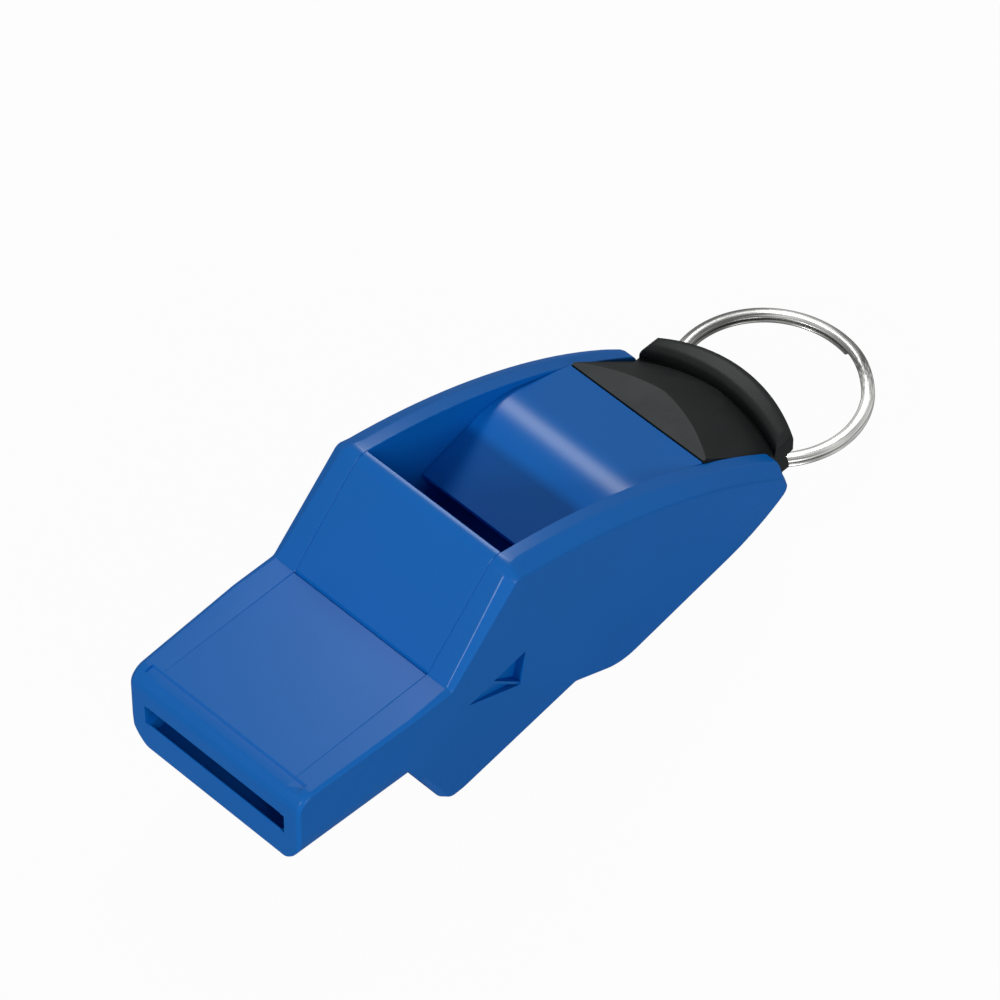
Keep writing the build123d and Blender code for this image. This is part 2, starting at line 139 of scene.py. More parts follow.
# Deck in the window: x, z and round of each corner, from the sounding edge back and round underneath
DECK_CORNERS = (
    (30.4, 13.8, 0.05),
    (38.9, 16.3, 8.0),
    (47.4, 13.1, 0.12),
    (47.4, 3.865, 0.05),
    (45.8, 3.554, 0.05),
    (45.8, 11.5, 0.3),
    (38.9, 14.7, 3.0),
    (30.4, 13.45, 0.05),
)
DECK_STEPS = 14

# How far the cutting solids reach past the mouldings
CUT_FRONT = -2.0
CUT_TOP = 20.0
CUT_PAST = 1.0

# Side vent with its thin rib
VENT_TIP = (18.2, 10.3)
VENT_TOP = (24.5, 11.5)
VENT_HEEL = (23.9, 7.95)
VENT_RIB = (20.8, 10.8)
VENT_UPPER_DEPTHS = (0.22, 0.75, 0.9)
VENT_LOWER_DEPTHS = (0.15, 0.4, 0.6)
VENT_RIB_WALL = 0.24
VENT_RIB_RECESS = 0.1

# Split ring: two turns of rolled oval wire with a short rise from the lower to the upper
RING_RADIUS = 8.175
WIRE_WIDTH = 1.15
WIRE_THICKNESS = 0.49
WIRE_PITCH = 0.5
RING_TURNS = 1.875
RING_END_ANGLE = -12.0
RING_DROOP = 3.0
RING_STEPS = 160
WIRE_SIDES = 24

# Meshes: edges sharper than this stay crisp, and the cap's facets and flat top are told by these
SHARP_ANGLE = 32.0
MERGE_DISTANCE = 1e-7
FACET_ANGLE = 0.4
FLAT_UP = 0.999
CRESCENT_REACH = 0.05

# Studio: floor in metres, its gap below the foot in millimetres, and shares of full white
FLOOR_REACH = 3.0
FLOOR_GAP = 0.02
FLOOR_GREY = 0.55
FLOOR_SEEN = 0.97
FLOOR_MIRRORED = 0.3
SKY_LIGHT = 0.13
SKY_SEEN = 1.0

# Camera: angles in radians, distance and offsets in millimetres, picture width in pixels
CAMERA_AIM = (25, 0, 8)
CAMERA_AZIMUTH = -0.7774477
CAMERA_ELEVATION = 0.8853972
CAMERA_ROLL = -0.003550615
CAMERA_DISTANCE = 1 / 0.001671521
PICTURE_WIDTH = 1000
PIXELS_PER_MM = 12.54570
CAMERA_ASIDE = 61.012 / PIXELS_PER_MM
CAMERA_ABOVE = 106.18 / PIXELS_PER_MM
SENSOR_WIDTH = 36.0


def at(x, y, z):
    """A point of the whistle in the frame."""
    return Vector((front_x + x * MM, y * MM, z * MM))


def arc(start, end, bulge, count):
    """Points inside an arc that stands off its chord, to the left of the way along it."""
    start, end = Vector(start), Vector(end)
    chord = end - start
    radius = (chord.length_squared / 4 + bulge**2) / (2 * bulge)
    left = Vector((-chord.y, chord.x)).normalized()
    centre = (start + end) / 2 + left * (bulge - radius)
    sweep = -2 * math.asin(chord.length / (2 * radius))
    points = []
    for step in range(1, count):
        angle = sweep * step / count
        spoke = start - centre
        turned = Vector((
            spoke.x * math.cos(angle) - spoke.y * math.sin(angle),
            spoke.x * math.sin(angle) + spoke.y * math.cos(angle),
        ))
        points.append((*(centre + turned), 0))
    return points


def rounded(corners, steps=8):
    """Closed side-view path through corners (x, z, radius); a radius of 0 keeps the point as it is."""
    path = []
    for index, (x, z, radius) in enumerate(corners):
        here = Vector((x, z))
        if radius == 0:
            path.append(here)
            continue
        before = (Vector(corners[index - 1][:2]) - here).normalized()
        after = (Vector(corners[(index + 1) % len(corners)][:2]) - here).normalized()
        half_angle = before.angle(after) / 2
        reach = radius / math.tan(half_angle)
        start, end = here + before * reach, here + after * reach
        for step in range(steps + 1):
            share = step / steps
            weights = ((1 - share) ** 2, 2 * share * (1 - share) * math.sin(half_angle), share**2)
            point = start * weights[0] + here * weights[1] + end * weights[2]
            path.append(point / sum(weights))
    return path


def inset(path, depth, share=None):
    """A clockwise path moved inwards by a depth, or by a share of it at each point."""
    moved = []
    for index, here in enumerate(path):
        before = (here - path[index - 1]).normalized()
        after = (path[(index + 1) % len(path)] - here).normalized()
        inward = [Vector((way.y, -way.x)) for way in (before, after)]
        reach = depth * share(here) if share else depth
        moved.append(here + (inward[0] + inward[1]) * reach / (1 + inward[0].dot(inward[1])))
    return moved


def share_between(value, start, end):
    """Where a value lies between two others, from 0 to 1."""
    return min(1.0, max(0.0, (value - start) / (end - start)))


def chamfer_share(point):
    """Share of the full chamfer at an edge: little at the mouth, all along the rim, half underneath."""
    x, z = point
    waist = WAIST_FRONT - WAIST_FALL * share_between(x, LIP[0], TAIL_TOP[0])
    if x > MOUTH_TAPER_LENGTH and z < waist:
        return UNDER_CHAMFER_SHARE
    past_crease = share_between(x, CREASE[0] - CREASE_BLEND, CREASE[0] + CREASE_BLEND)
    past_lip = share_between(x, LIP[0] - LIP_BLEND_BEFORE, LIP[0] + LIP_BLEND_AFTER)
    on_ramp = (RAMP_CHAMFER_SHARE - MOUTH_CHAMFER_SHARE) * past_crease
    on_rim = (1 - RAMP_CHAMFER_SHARE) * past_lip
    return MOUTH_CHAMFER_SHARE + on_ramp + on_rim


def seam_share(point):
    """How open a core seam is: shut on the nose and the front, open behind them."""
    return share_between(point.x, NOSE_LENGTH - SEAM_BLEND, NOSE_LENGTH + SEAM_BLEND)


def body_side(x):
    """How far the covers stand in towards the middle at a place along the tapered mouthpiece."""
    return MOUTH_TAPER * (1 - share_between(x, 0, MOUTH_TAPER_LENGTH))


def new_piece(name, shape):
    """An object in the scene from a finished shape, which is closed and points outwards."""
    bmesh.ops.recalc_face_normals(shape, faces=shape.faces)
    mesh = bpy.data.meshes.new(name)
    shape.to_mesh(mesh)
    shape.free()
    piece = bpy.data.objects.new(name, mesh)
    bpy.context.scene.collection.objects.link(piece)
    return piece


def lofted(name, rings, fold=None):
    """A closed piece through rings of points; a fold gives the two points at which the last face bends."""
    shape = bmesh.new()
    rows = [[shape.verts.new(point) for point in ring] for ring in rings]
    for row, following in zip(rows, rows[1:]):
        for index in range(len(row)):
            after = (index + 1) % len(row)
            shape.faces.new((row[index], row[after], following[after], following[index]))
    shape.faces.new(rows[0])
    if fold:
        near, far = fold
        shape.faces.new(rows[-1][near:far + 1])
        shape.faces.new(rows[-1][far:] + rows[-1][:near + 1])
    else:
        shape.faces.new(rows[-1])
    return new_piece(name, shape)


def moulded(name, path, section):
    """A side-view path made solid; the section gives (y, inset) from one side to the other."""
    rings = []
    for y, depth in section:
        rings.append([at(point.x, y, point.y) for point in inset(path, depth, seam_share)])
    return lofted(name, rings)


def prism(name, corners, start_y, end_y):
    """A straight solid between two places across the whistle."""
    return lofted(name, [[at(x, y, z) for x, z in corners] for y in (start_y, end_y)])


def settle(piece):
    """Turns a piece with its modifiers into a plain mesh."""
    graph = bpy.context.evaluated_depsgraph_get()
    mesh = bpy.data.meshes.new_from_object(piece.evaluated_get(graph))
    piece.modifiers.clear()
    piece.data = mesh


def carve(piece, cutters):
    """Cuts other solids out of a piece."""
    for cutter in cutters:
        cut = piece.modifiers.new(cutter.name, "BOOLEAN")
        cut.operation = "DIFFERENCE"
        cut.solver = "EXACT"
        cut.object = cutter
    settle(piece)
    for cutter in cutters:
        bpy.data.objects.remove(cutter)


def finish_piece(piece, body, material, nodes):
    """Shades a piece, gives it its material and puts it on its body in place of its solids."""
    piece.data.materials.clear()
    piece.data.materials.append(material)
    for face in piece.data.polygons:
        face.use_smooth = True
        face.material_index = 0
    piece.data.set_sharp_from_angle(angle=math.radians(SHARP_ANGLE))
    weighted = piece.modifiers.new("flat_faces", "WEIGHTED_NORMAL")
    weighted.keep_sharp = True
    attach(piece, body)
    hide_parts(*nodes)


# Finishes

def shader_group(name, inputs, outputs):
    """An empty shader node group with named number inputs and outputs."""
    group = bpy.data.node_groups.new(name, "ShaderNodeTree")
    for socket, value in inputs:
        entry = group.interface.new_socket(socket, in_out="INPUT", socket_type="NodeSocketFloat")
        entry.default_value = value
    for socket in outputs:
        group.interface.new_socket(socket, in_out="OUTPUT", socket_type="NodeSocketFloat")
    return group


def linked(tree, kind, sources=(), **settings):
    """A new node with its settings; sources are (input, output socket or value)."""
    node = tree.nodes.new(kind)
    for key, value in settings.items():
        setattr(node, key, value)
    for socket, source in sources:
        if isinstance(source, bpy.types.NodeSocket):
            tree.links.new(source, node.inputs[socket])
        else:
            node.inputs[socket].default_value = source
    return node


def make_moulded_skin():
    """Group: fine tool texture and slow flow shading of a moulded surface, by place on the piece."""
    sizes = [("Grain Scale", 4200.0), ("Flow Scale", 90.0), ("Roughness Low", 0.3), ("Roughness High", 0.4)]
    group = shader_group("moulded_skin", sizes, ("Tone", "Roughness", "Height"))
    given = linked(group, "NodeGroupInput")
    result = linked(group, "NodeGroupOutput")
    place = linked(group, "ShaderNodeTexCoord").outputs["Object"]
    grain = linked(group, "ShaderNodeTexNoise", [
        ("Vector", place), ("Scale", given.outputs["Grain Scale"]), ("Detail", 3.0), ("Roughness", 0.6)])
    flow = linked(group, "ShaderNodeTexNoise", [
        ("Vector", place), ("Scale", given.outputs["Flow Scale"]), ("Detail", 2.0), ("Distortion", 0.6)])
    blend = linked(group, "ShaderNodeMath", [
        (0, grain.outputs["Fac"]), (1, flow.outputs["Fac"])], operation="ADD")
    rough = linked(group, "ShaderNodeMapRange", [
        ("Value", blend.outputs[0]), ("From Min", 0.7), ("From Max", 1.3),
        ("To Min", given.outputs["Roughness Low"]), ("To Max", given.outputs["Roughness High"])])
    group.links.new(flow.outputs["Fac"], result.inputs["Tone"])
    group.links.new(rough.outputs["Result"], result.inputs["Roughness"])
    group.links.new(grain.outputs["Fac"], result.inputs["Height"])
    return group


def skinned_material(name, skin, sizes, tones, bump, coat):
    """A moulded material: two near tones that drift under a thin clear skin, with the tool's grain.

    The bump gives strength and depth in millimetres, the coat its weight, roughness and refraction.
    """
    material = bpy.data.materials.new(name)
    material.use_nodes = True
    tree = material.node_tree
    surface = tree.nodes["Principled BSDF"]
    surface.inputs["Specular IOR Level"].default_value = 0.0
    for socket, value in zip(("Coat Weight", "Coat Roughness", "Coat IOR"), coat):
        surface.inputs[socket].default_value = value
    group = linked(tree, "ShaderNodeGroup", node_tree=skin)
    for socket, value in sizes:
        group.inputs[socket].default_value = value
    ramp = linked(tree, "ShaderNodeValToRGB", [("Fac", group.outputs["Tone"])])
    for stop, place, tone in zip(ramp.color_ramp.elements, (0.3, 0.7), tones):
        stop.position = place
        stop.color = (*tone, 1)
    dent = linked(tree, "ShaderNodeBump", [
        ("Height", group.outputs["Height"]), ("Strength", bump[0]), ("Distance", bump[1] * MM)])
    tree.links.new(ramp.outputs["Color"], surface.inputs["Base Color"])
    tree.links.new(group.outputs["Roughness"], surface.inputs["Roughness"])
    tree.links.new(dent.outputs["Normal"], surface.inputs["Normal"])
    tree.links.new(dent.outputs["Normal"], surface.inputs["Coat Normal"])
    return material


def make_nickel(centre):
    """Bright nickel plate over drawn wire: fine lines run round the ring, and slow darker patches in its
    colour are painted reflections.
    """
    material = bpy.data.materials.new("nickel_plate")
    material.use_nodes = True
    tree = material.node_tree
    surface = tree.nodes["Principled BSDF"]
    surface.inputs["Metallic"].default_value = 1.0
    place = linked(tree, "ShaderNodeTexCoord").outputs["Object"]
    level = linked(tree, "ShaderNodeMapping", [
        ("Vector", place), ("Location", -centre), ("Rotation", (0, math.radians(-RING_DROOP), 0))])
    parts = linked(tree, "ShaderNodeSeparateXYZ", [("Vector", level.outputs[0])])
    plan = linked(tree, "ShaderNodeCombineXYZ", [("X", parts.outputs["X"]), ("Y", parts.outputs["Y"])])
    radius = linked(tree, "ShaderNodeVectorMath", [(0, plan.outputs[0])], operation="LENGTH")
    lines_at = linked(tree, "ShaderNodeCombineXYZ", [
        ("X", radius.outputs["Value"]), ("Y", parts.outputs["Z"])])
    lines = linked(tree, "ShaderNodeTexNoise", [
        ("Vector", lines_at.outputs[0]), ("Scale", 14000.0), ("Detail", 2.0)])
    smudge = linked(tree, "ShaderNodeTexNoise", [("Vector", place), ("Scale", 420.0), ("Detail", 3.0)])
    # Painted reflection: slow dark patches in the plate's colour stand for dark surroundings mirrored in it.
    painted_dark_reflections = linked(tree, "ShaderNodeTexNoise", [("Vector", place), ("Scale", 150.0), ("Detail", 1.0)])
    shading = linked(tree, "ShaderNodeMath", [
        (0, lines.outputs["Fac"]), (1, painted_dark_reflections.outputs["Fac"])], operation="ADD")
    rough = linked(tree, "ShaderNodeMapRange", [
        ("Value", smudge.outputs["Fac"]), ("From Min", 0.3), ("From Max", 0.7),
        ("To Min", 0.2), ("To Max", 0.34)])
    level_tone = linked(tree, "ShaderNodeMapRange", [
        ("Value", shading.outputs[0]), ("From Min", 0.75), ("From Max", 1.25)])
    tone = linked(tree, "ShaderNodeValToRGB", [("Fac", level_tone.outputs["Result"])])
    for stop, spot, shade in zip(tone.color_ramp.elements, (0.1, 0.9), (0.1, 0.66)):
        stop.position = spot
        stop.color = (shade, shade, shade * 0.97, 1)
    dent = linked(tree, "ShaderNodeBump", [
        ("Height", lines.outputs["Fac"]), ("Strength", 0.06), ("Distance", 0.01 * MM)])
    tree.links.new(tone.outputs["Color"], surface.inputs["Base Color"])
    tree.links.new(rough.outputs["Result"], surface.inputs["Roughness"])
    tree.links.new(dent.outputs["Normal"], surface.inputs["Normal"])
    return material


ring_low, ring_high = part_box("split_ring")
ring_centre = (ring_low + ring_high) / 2
moulded_skin = make_moulded_skin()
blue_plastic = skinned_material(
    "blue_plastic", moulded_skin,
    [("Grain Scale", 4200.0), ("Flow Scale", 70.0), ("Roughness Low", 0.28), ("Roughness High", 0.37)],
    tones=[(0.002, 0.146, 0.545), (0.003, 0.154, 0.575)], bump=(0.1, 0.02), coat=(0.155, 0.28, 2.0))
black_elastomer = skinned_material(
    "black_elastomer", moulded_skin,
    [("Grain Scale", 5200.0), ("Flow Scale", 160.0), ("Roughness Low", 0.42), ("Roughness High", 0.56)],
    tones=[(0.017, 0.0195, 0.02), (0.0235, 0.0265, 0.0265)], bump=(0.3, 0.03), coat=(0.14, 0.42, 1.8))
# Painted sheen: the lighter grey on the cap's flat top stands for the softbox light it reflects, over a
# rougher real finish.
matte_painted_sheen_elastomer = skinned_material(
    "matte_painted_sheen_elastomer", moulded_skin,
    [("Grain Scale", 3600.0), ("Flow Scale", 240.0), ("Roughness Low", 0.7), ("Roughness High", 0.85)],
    tones=[(0.056, 0.061, 0.061), (0.075, 0.081, 0.08)], bump=(0.45, 0.04), coat=(0.06, 0.6, 1.8))
nickel_plate = make_nickel(ring_centre)


# Body mouldings

def foot_front(z):
    """Where the foot's leaning front stands at a height."""
    return FOOT_TOE[0] - z * math.tan(math.radians(FOOT_LEAN))


def belly_point(slope):
    """Point of the belly's round where the side view has a slope."""
    angle = math.radians(slope)
    return (BELLY_X + BELLY_ROUND * math.sin(angle), BELLY_ROUND * (1 - math.cos(angle)))


def cover_path():
    """Whole side view: mouthpiece, ramp, rim, tail, belly and foot."""
    rear_slope, front_slope = BELLY_SLOPES
    turn = front_slope - rear_slope
    belly = [(*belly_point(rear_slope + turn * step / BELLY_STEPS), 0) for step in range(BELLY_STEPS + 1)]
    return rounded([
        (0, MOUTH_FLOOR, MOUTH_CHIN_ROUND),
        (0, MOUTH_ROOF, MOUTH_TOP_ROUND),
        (MOUTH_TAPER_LENGTH, MOUTH_ROOF, 0),
        (*CREASE, CREASE_ROUND),
        (*LIP, LIP_ROUND),
        *arc(LIP, TAIL_TOP, RIM_BULGE, RIM_STEPS),
        (*TAIL_TOP, TAIL_ROUND),
        (*TAIL_BOTTOM, TAIL_ROUND),
        *arc(TAIL_BOTTOM, UNDERTAIL, UNDERTAIL_BULGE, UNDERTAIL_STEPS),
        (*UNDERTAIL, 0),
        *belly,
        (*NOTCH, NOTCH_ROUND),
        (*HEEL, HEEL_ROUND),
        (*FOOT_TOE, FOOT_TOE_ROUND),
        (foot_front(MOUTH_FLOOR), MOUTH_FLOOR, FOOT_ROOT_ROUND),
        (MOUTH_TAPER_LENGTH, MOUTH_FLOOR, 0),
    ])


def taper(piece):
    """Narrows a piece towards the front of the mouthpiece, outside the core."""
    for vertex in piece.data.vertices:
        across = abs(vertex.co.y) / MM
        share = share_between(across, CORE_HALF + SEAM_SOFT, CHAMFER_START - CHAMFER_SOFT)
        side = math.copysign(1, vertex.co.y)
        vertex.co.y -= side * share * body_side((vertex.co.x - front_x) / MM) * MM


def mouth_edge_cutter(side):
    """Corner that comes off a lower edge of the mouthpiece, as far as the foot."""
    size = MOUTH_EDGE_ROUND
    angles = [math.radians(90) * step / MOUTH_EDGE_STEPS for step in range(MOUTH_EDGE_STEPS + 1)]
    curve = [(size * (1 - math.cos(angle)), size * (1 - math.sin(angle))) for angle in angles]
    outside = [(-CUT_PAST, size), *curve, (size, -CUT_PAST), (-CUT_PAST, -CUT_PAST)]
    rings = []
    for x in (CUT_FRONT, None):
        ring = []
        for inward, up in outside:
            height = MOUTH_FLOOR + up
            along = foot_front(height) if x is None else x
            edge = COVER_HALF - MOUTH_TAPER * (MOUTH_TAPER_LENGTH - along) / MOUTH_TAPER_LENGTH
            ring.append(at(along, side * (edge - inward), height))
        rings.append(ring)
    return lofted("mouth_edge_cutter", rings)


def slot_cutter():
    """The mouth slot."""
    corners = [(CUT_FRONT, SLOT_LOW), (SLOT_DEPTH, SLOT_LOW), (SLOT_DEPTH, SLOT_HIGH), (CUT_FRONT, SLOT_HIGH)]
    return prism("slot_cutter", corners, -SLOT_HALF, SLOT_HALF)


def nose_cutter():
    """What comes off above the nose."""
    low = MOUTH_ROOF - NOSE_STEP
    step = (NOSE_LENGTH + NOSE_STEP_RUN, MOUTH_ROOF + NOSE_STEP_PAST)
    corners = [(CUT_FRONT, low), (NOSE_LENGTH, low), step, (step[0], CUT_TOP), (CUT_FRONT, CUT_TOP)]
    return prism("nose_cutter", corners, -NOSE_HALF, NOSE_HALF)


def pocket_cutter(name, corners, depths, side):
    """A pocket in the side of a cover, with its own depth at each corner."""
    mouth = [at(x, side * (COVER_HALF + CUT_PAST), z) for x, z in corners]
    bottom = [at(x, side * (COVER_HALF - depth), z) for (x, z), depth in zip(corners, depths)]
    return lofted(name, [mouth, bottom])


def vent_cutters(side):
    """The side vent: a shallow three-cornered recess, and the two sloping pockets that its rib parts."""
    rib_way = (Vector(VENT_HEEL) - Vector(VENT_RIB)).normalized()
    across = Vector((-rib_way.y, rib_way.x)) * VENT_RIB_WALL / 2
    upper = [Vector(VENT_RIB) + across, Vector(VENT_TOP), Vector(VENT_HEEL) + across]
    lower = [Vector(VENT_TIP), Vector(VENT_RIB) - across, Vector(VENT_HEEL) - across]
    whole = [Vector(VENT_TIP), Vector(VENT_TOP), Vector(VENT_HEEL)]
    return [
        pocket_cutter("vent_recess", whole, [VENT_RIB_RECESS] * 3, side),
        pocket_cutter("vent_upper", upper, VENT_UPPER_DEPTHS, side),
        pocket_cutter("vent_lower", lower, VENT_LOWER_DEPTHS, side),
    ]


def make_cover(name, side):
    """A side cover with a chamfer round its outer edges, its slot end, nose step and vent."""
    slant = Vector((COVER_HALF - CHAMFER_START, CHAMFER_DEPTH)).normalized() * CHAMFER_SOFT
    section = [
        (CHAMFER_START - CHAMFER_SOFT, 0),
        (CHAMFER_START - CHAMFER_EASE_RUN, CHAMFER_EASE_DROP),
        (CHAMFER_START + slant.x, slant.y),
        (COVER_HALF - slant.x, CHAMFER_DEPTH - slant.y),
        (COVER_HALF - CHAMFER_EASE_DROP, CHAMFER_DEPTH + CHAMFER_EASE_RUN),
        (COVER_HALF, CHAMFER_DEPTH + CHAMFER_SOFT),
    ]
    path = cover_path()
    rings = [
        [at(point.x, side * CORE_HALF, point.y) for point in inset(path, SEAM_SOFT, seam_share)],
        [at(point.x, side * (CORE_HALF + SEAM_SOFT), point.y) for point in path],
    ]
    for y, depth in section:
        ring = []
        for outer, inner in zip(path, inset(path, depth, chamfer_share)):
            drawn_in = (COVER_HALF - y) * chamfer_share(outer)
            ring.append(at(inner.x, side * (COVER_HALF - drawn_in), inner.y))
        rings.append(ring)
    fold = [index for index, point in enumerate(path) if point.x == MOUTH_TAPER_LENGTH]
    cover = lofted(name, rings, fold)
    taper(cover)
    carve(cover, [mouth_edge_cutter(side), slot_cutter(), nose_cutter(), *vent_cutters(side)])
    return cover


def core_section():
    """Section of a core moulding, with a small break at the seams."""
    return [
        (-CORE_HALF, SEAM_SOFT),
        (SEAM_SOFT - CORE_HALF, 0),
        (CORE_HALF - SEAM_SOFT, 0),
        (CORE_HALF, SEAM_SOFT),
    ]


def make_mouth_roof():
    """Raised panel of the mouthpiece with its nose step, the ramp and the lip."""
    rim_drop = (LIP_BACK_X - LIP[0]) * LIP_FALL
    path = rounded([
        (0, SLOT_HIGH, SLOT_EDGE_ROUND),
        (0, MOUTH_ROOF, MOUTH_TOP_ROUND),
        *[(CREASE[0] + x, CREASE[1] + z, radius) for x, z, radius in CREASE_GROOVE],
        (*LIP, LIP_ROUND),
        (LIP_BACK_X, LIP[1] - rim_drop, LIP_BACK_ROUND),
        (LIP_BACK_X, LIP_UNDER_Z, LIP_UNDER_ROUND),
        (SLOT_DEPTH, SLOT_HIGH, SLOT_END_ROUND),
    ])
    roof = moulded("mouth_roof_moulding", path, core_section())
    carve(roof, [nose_cutter()])
    return roof


def make_mouth_floor():
    """Floor of the mouthpiece with the foot."""
    path = rounded([
        (0, MOUTH_FLOOR, MOUTH_CHIN_ROUND),
        (0, SLOT_LOW, SLOT_EDGE_ROUND),
        (SLOT_LAND, SLOT_LOW, WELL_EDGE_ROUND),
        (SLOT_LAND + WELL_FRONT_RUN, SLOT_WELL, WELL_EDGE_ROUND),
        (SLOT_DEPTH - WELL_BACK_RUN, SLOT_WELL, SLOT_END_ROUND),
        (SLOT_DEPTH, SLOT_LOW, SLOT_END_ROUND),
        (LOWER_LIP_X, LOWER_LIP_TOP, LOWER_LIP_ROUND),
        (LOWER_LIP_X, LOWER_LIP_BOTTOM, LOWER_LIP_ROUND),
        (*HEEL, HEEL_ROUND),
        (*FOOT_TOE, CORE_TOE_ROUND),
        (foot_front(MOUTH_FLOOR), MOUTH_FLOOR, FOOT_ROOT_ROUND),
    ])
    floor = moulded("mouth_floor_moulding", path, core_section())
    carve(floor, [mouth_edge_cutter(side) for side in (-1, 1)])
    return floor


def make_deck():
    """Deck in the window: sounding edge, ramp, soft bend, sloping top and the wall that ends the chambers."""
    return moulded("labium_deck_moulding", rounded(DECK_CORNERS, DECK_STEPS), core_section())


def make_cap():
    """The tail cap's own solid, with its facets joined into whole faces."""
    shape = bmesh.new()
    shape.from_mesh(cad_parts["tail_cap"].data)
    bmesh.ops.remove_doubles(shape, verts=shape.verts, dist=MERGE_DISTANCE)
    bmesh.ops.dissolve_limit(
        shape, angle_limit=math.radians(FACET_ANGLE), verts=shape.verts, edges=shape.edges)
    return new_piece("tail_cap_moulding", shape)


def paint_crescent(cap):
    """Gives the cap's flat crescent a rougher finish in a lighter grey that paints on the sheen it catches
    from above, and a crisp edge.
    """
    cap.data.materials.append(matte_painted_sheen_elastomer)
    height = max(vertex.co.z for vertex in cap.data.vertices)
    painted_sheen_edges, plain_edges = set(), set()
    for face in cap.data.polygons:
        on_top = face.normal.z > FLAT_UP and face.center.z > height - CRESCENT_REACH * MM
        face.material_index = int(on_top)
        (painted_sheen_edges if on_top else plain_edges).update(face.edge_keys)
    for edge in cap.data.edges:
        if edge.key in painted_sheen_edges & plain_edges:
            edge.use_edge_sharp = True


# Split ring

def make_ring_tree():
    """Geometry nodes: rolled wire wound into two turns with a short rise between them, set in its place."""
    tree = bpy.data.node_groups.new("wound_split_ring", "GeometryNodeTree")
    tree.interface.new_socket("Geometry", in_out="OUTPUT", socket_type="NodeSocketGeometry")
    sizes = {
        "Ring Radius": RING_RADIUS * MM,
        "Wire Width": WIRE_WIDTH * MM,
        "Wire Thickness": WIRE_THICKNESS * MM,
        "Pitch": WIRE_PITCH * MM,
        "Turns": RING_TURNS,
    }
    for name, value in sizes.items():
        entry = tree.interface.new_socket(name, in_out="INPUT", socket_type="NodeSocketFloat")
        entry.default_value = value
    for name in ("Place", "Droop", "End Angle"):
        tree.interface.new_socket(name, in_out="INPUT", socket_type="NodeSocketVector")
    tree.interface.new_socket("Material", in_out="INPUT", socket_type="NodeSocketMaterial")
    given = linked(tree, "NodeGroupInput").outputs
    result = linked(tree, "NodeGroupOutput")
    coil = linked(tree, "GeometryNodeCurveSpiral", [
        ("Resolution", RING_STEPS), ("Rotations", given["Turns"]), ("Start Radius", given["Ring Radius"]),
        ("End Radius", given["Ring Radius"]), ("Height", 0.0), ("Reverse", True)])
    along = linked(tree, "GeometryNodeSplineParameter").outputs["Factor"]
    one_turn = linked(tree, "ShaderNodeMath", [(0, 1.0), (1, given["Turns"])], operation="DIVIDE").outputs[0]
    rise_start = linked(tree, "ShaderNodeMath", [(0, 1.0), (1, one_turn)], operation="SUBTRACT").outputs[0]
    low = linked(tree, "ShaderNodeMath", [(0, given["Pitch"]), (1, -0.5)], operation="MULTIPLY").outputs[0]
    high = linked(tree, "ShaderNodeMath", [(0, given["Pitch"]), (1, 0.5)], operation="MULTIPLY").outputs[0]
    level = linked(tree, "ShaderNodeMapRange", [
        ("Value", along), ("From Min", rise_start), ("From Max", one_turn), ("To Min", low), ("To Max", high),
    ], interpolation_type="SMOOTHERSTEP")
    lift = linked(tree, "ShaderNodeCombineXYZ", [("Z", level.outputs["Result"])])
    wound = linked(tree, "GeometryNodeSetPosition", [
        ("Geometry", coil.outputs["Curve"]), ("Offset", lift.outputs["Vector"])])
    upright = linked(tree, "GeometryNodeSetCurveNormal", [("Curve", wound.outputs["Geometry"])], mode="Z_UP")
    round_wire = linked(tree, "GeometryNodeCurvePrimitiveCircle", [
        ("Resolution", WIRE_SIDES), ("Radius", 0.5)])
    rolled_size = linked(tree, "ShaderNodeCombineXYZ", [
        ("X", given["Wire Width"]), ("Y", given["Wire Thickness"]), ("Z", 1.0)])
    section = linked(tree, "GeometryNodeTransform", [
        ("Geometry", round_wire.outputs["Curve"]), ("Scale", rolled_size.outputs["Vector"])])
    wire = linked(tree, "GeometryNodeCurveToMesh", [
        ("Curve", upright.outputs["Curve"]), ("Profile Curve", section.outputs["Geometry"]),
        ("Fill Caps", True)])
    turned = linked(tree, "GeometryNodeTransform", [
        ("Geometry", wire.outputs["Mesh"]), ("Rotation", given["End Angle"])])
    placed = linked(tree, "GeometryNodeTransform", [
        ("Geometry", turned.outputs["Geometry"]), ("Rotation", given["Droop"]),
        ("Translation", given["Place"])])
    real = linked(tree, "GeometryNodeRealizeInstances", [("Geometry", placed.outputs["Geometry"])])
    painted = linked(tree, "GeometryNodeSetMaterial", [
        ("Geometry", real.outputs["Geometry"]), ("Material", given["Material"])])
    tree.links.new(painted.outputs["Geometry"], result.inputs["Geometry"])
    return tree


def make_ring():
    """The wound split ring as a plain mesh."""
    ring = new_piece("split_ring_wire", bmesh.new())
    winding = ring.modifiers.new("winding", "NODES")
    winding.node_group = make_ring_tree()
    sockets = {
        item.name: item.identifier
        for item in winding.node_group.interface.items_tree
        if item.item_type == "SOCKET" and item.in_out == "INPUT"
    }
    winding[sockets["Place"]] = ring_centre
    winding[sockets["Droop"]] = (0.0, math.radians(RING_DROOP), 0.0)
    winding[sockets["End Angle"]] = (0.0, 0.0, math.radians(RING_END_ANGLE))
    winding[sockets["Material"]] = nickel_plate
    settle(ring)
    return ring


